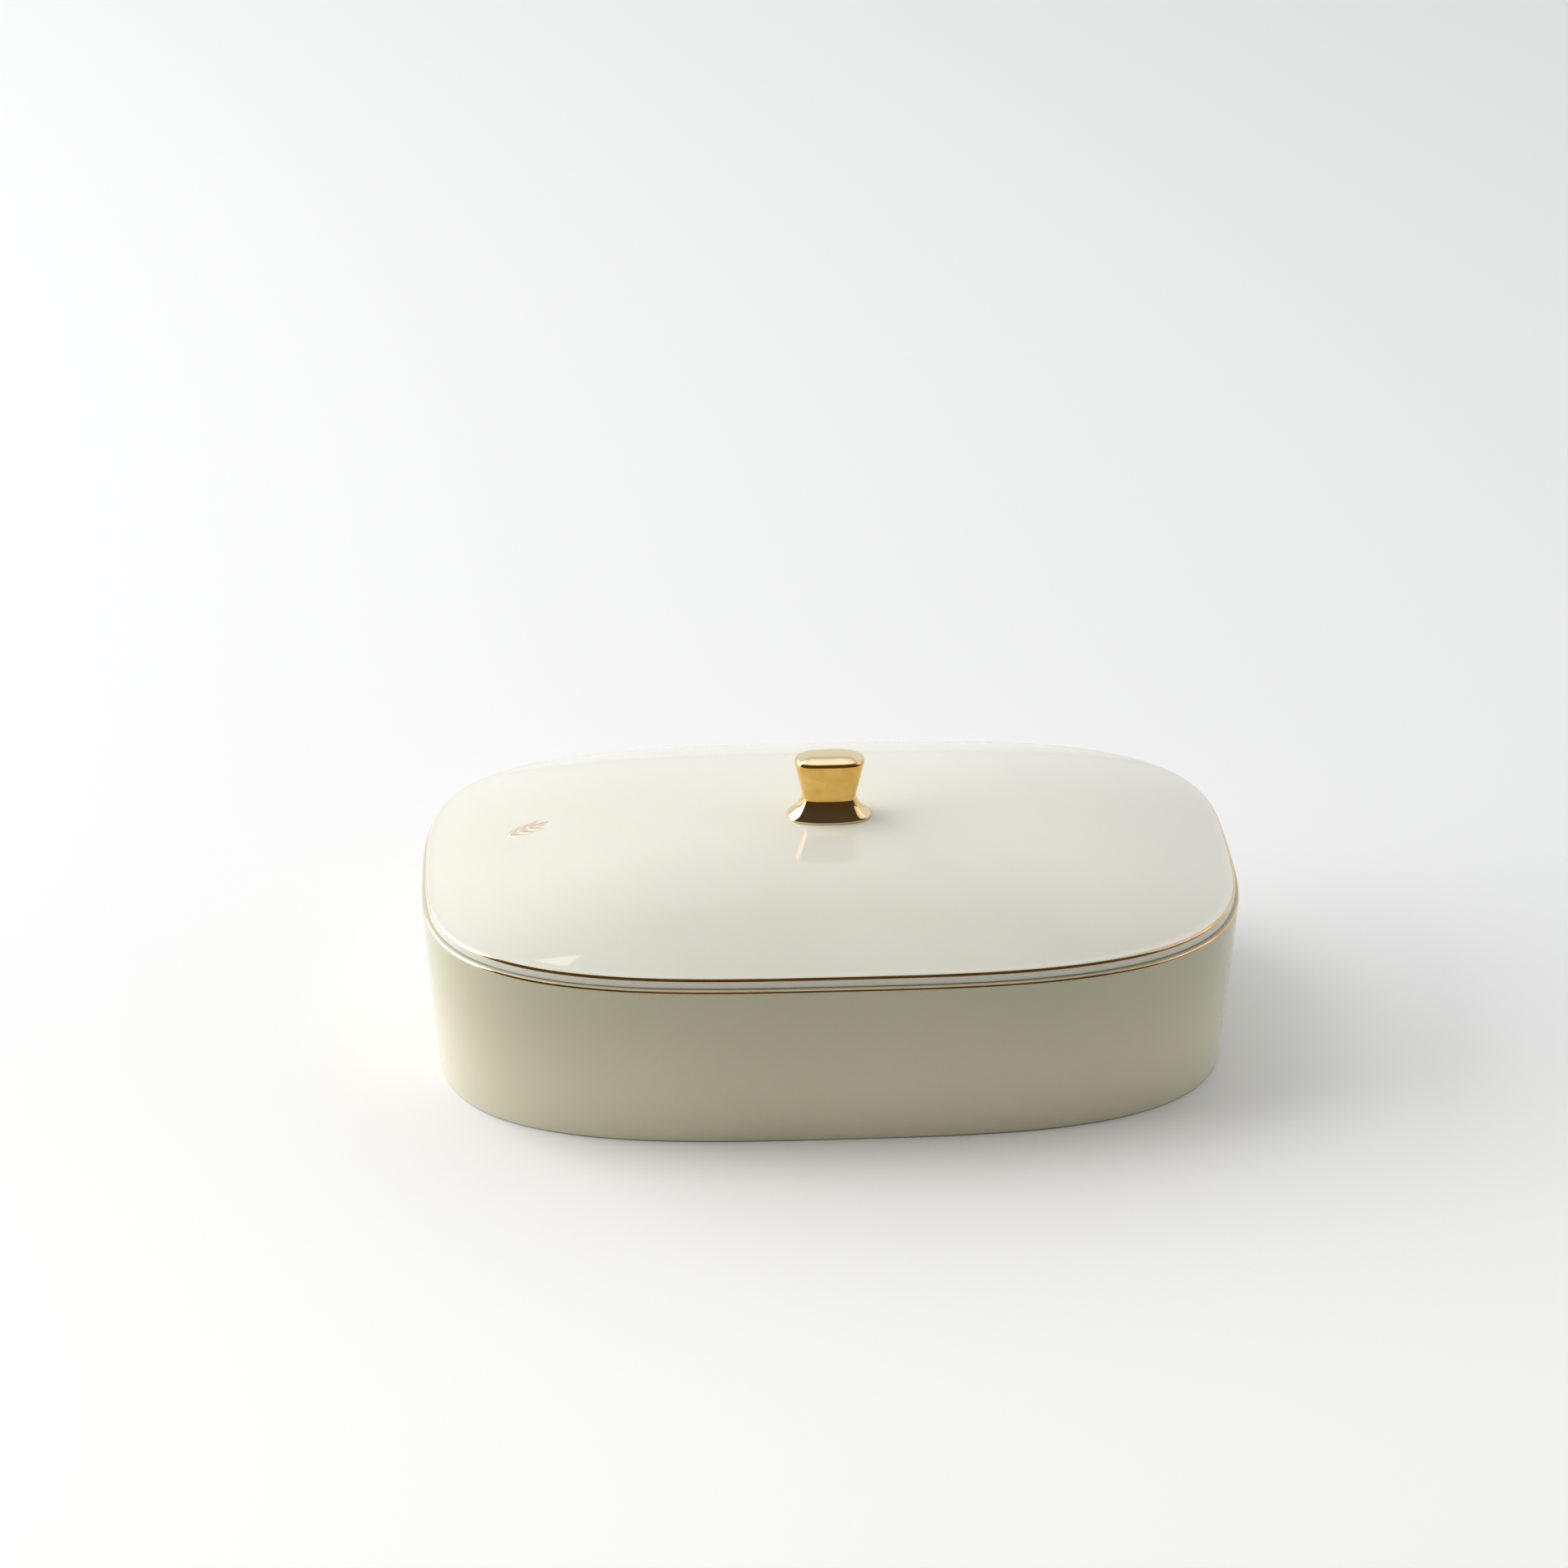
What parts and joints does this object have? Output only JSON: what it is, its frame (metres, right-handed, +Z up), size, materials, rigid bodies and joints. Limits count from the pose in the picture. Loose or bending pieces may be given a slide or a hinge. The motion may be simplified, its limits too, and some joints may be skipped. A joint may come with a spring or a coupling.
{
  "type": "vanity trinket box",
  "caption": "Long glazed porcelain box with rounded corners and a crowned lift-off lid that drops inside the rim, gold edge lines and a gold finger knob held by a screw from below.",
  "frame": {"origin": "middle of the foot, on the surface the box stands on", "axes": "+Z up; +X along the length, to the right of someone facing the front; -Y is the front"},
  "size_m": [0.2, 0.118, 0.0754],
  "materials": {
    "box_porcelain": "glossy ivory glaze, bare bisque on the foot ring",
    "rim_gold": "bright gilding",
    "lid_porcelain": "glossy ivory glaze",
    "lid_gold": "bright gilding",
    "emblem_gold": "pale gold print under a glossy glaze",
    "knob_gold": "polished gold, slightly wavy",
    "gasket": "translucent silicone",
    "cushion": "satin silicone",
    "washer_steel": "zinc plated",
    "screw_steel": "zinc plated"
  },
  "bodies": {
    "box": {"box_body": "box_porcelain", "box_rim_gilding": "rim_gold"},
    "lid": {"lid_shell": "lid_porcelain", "lid_edge_gilding": "lid_gold", "lid_emblem": "emblem_gold", "knob": "knob_gold", "knob_gasket": "gasket", "knob_cushion": "cushion", "knob_washer": "washer_steel", "knob_screw": "screw_steel"}
  },
  "joints": [
    {"name": "lid_lift", "type": "slide", "parent": "box", "child": "lid", "axis": [0, 0, 1], "range_m": [0, 0.1]}
  ]
}
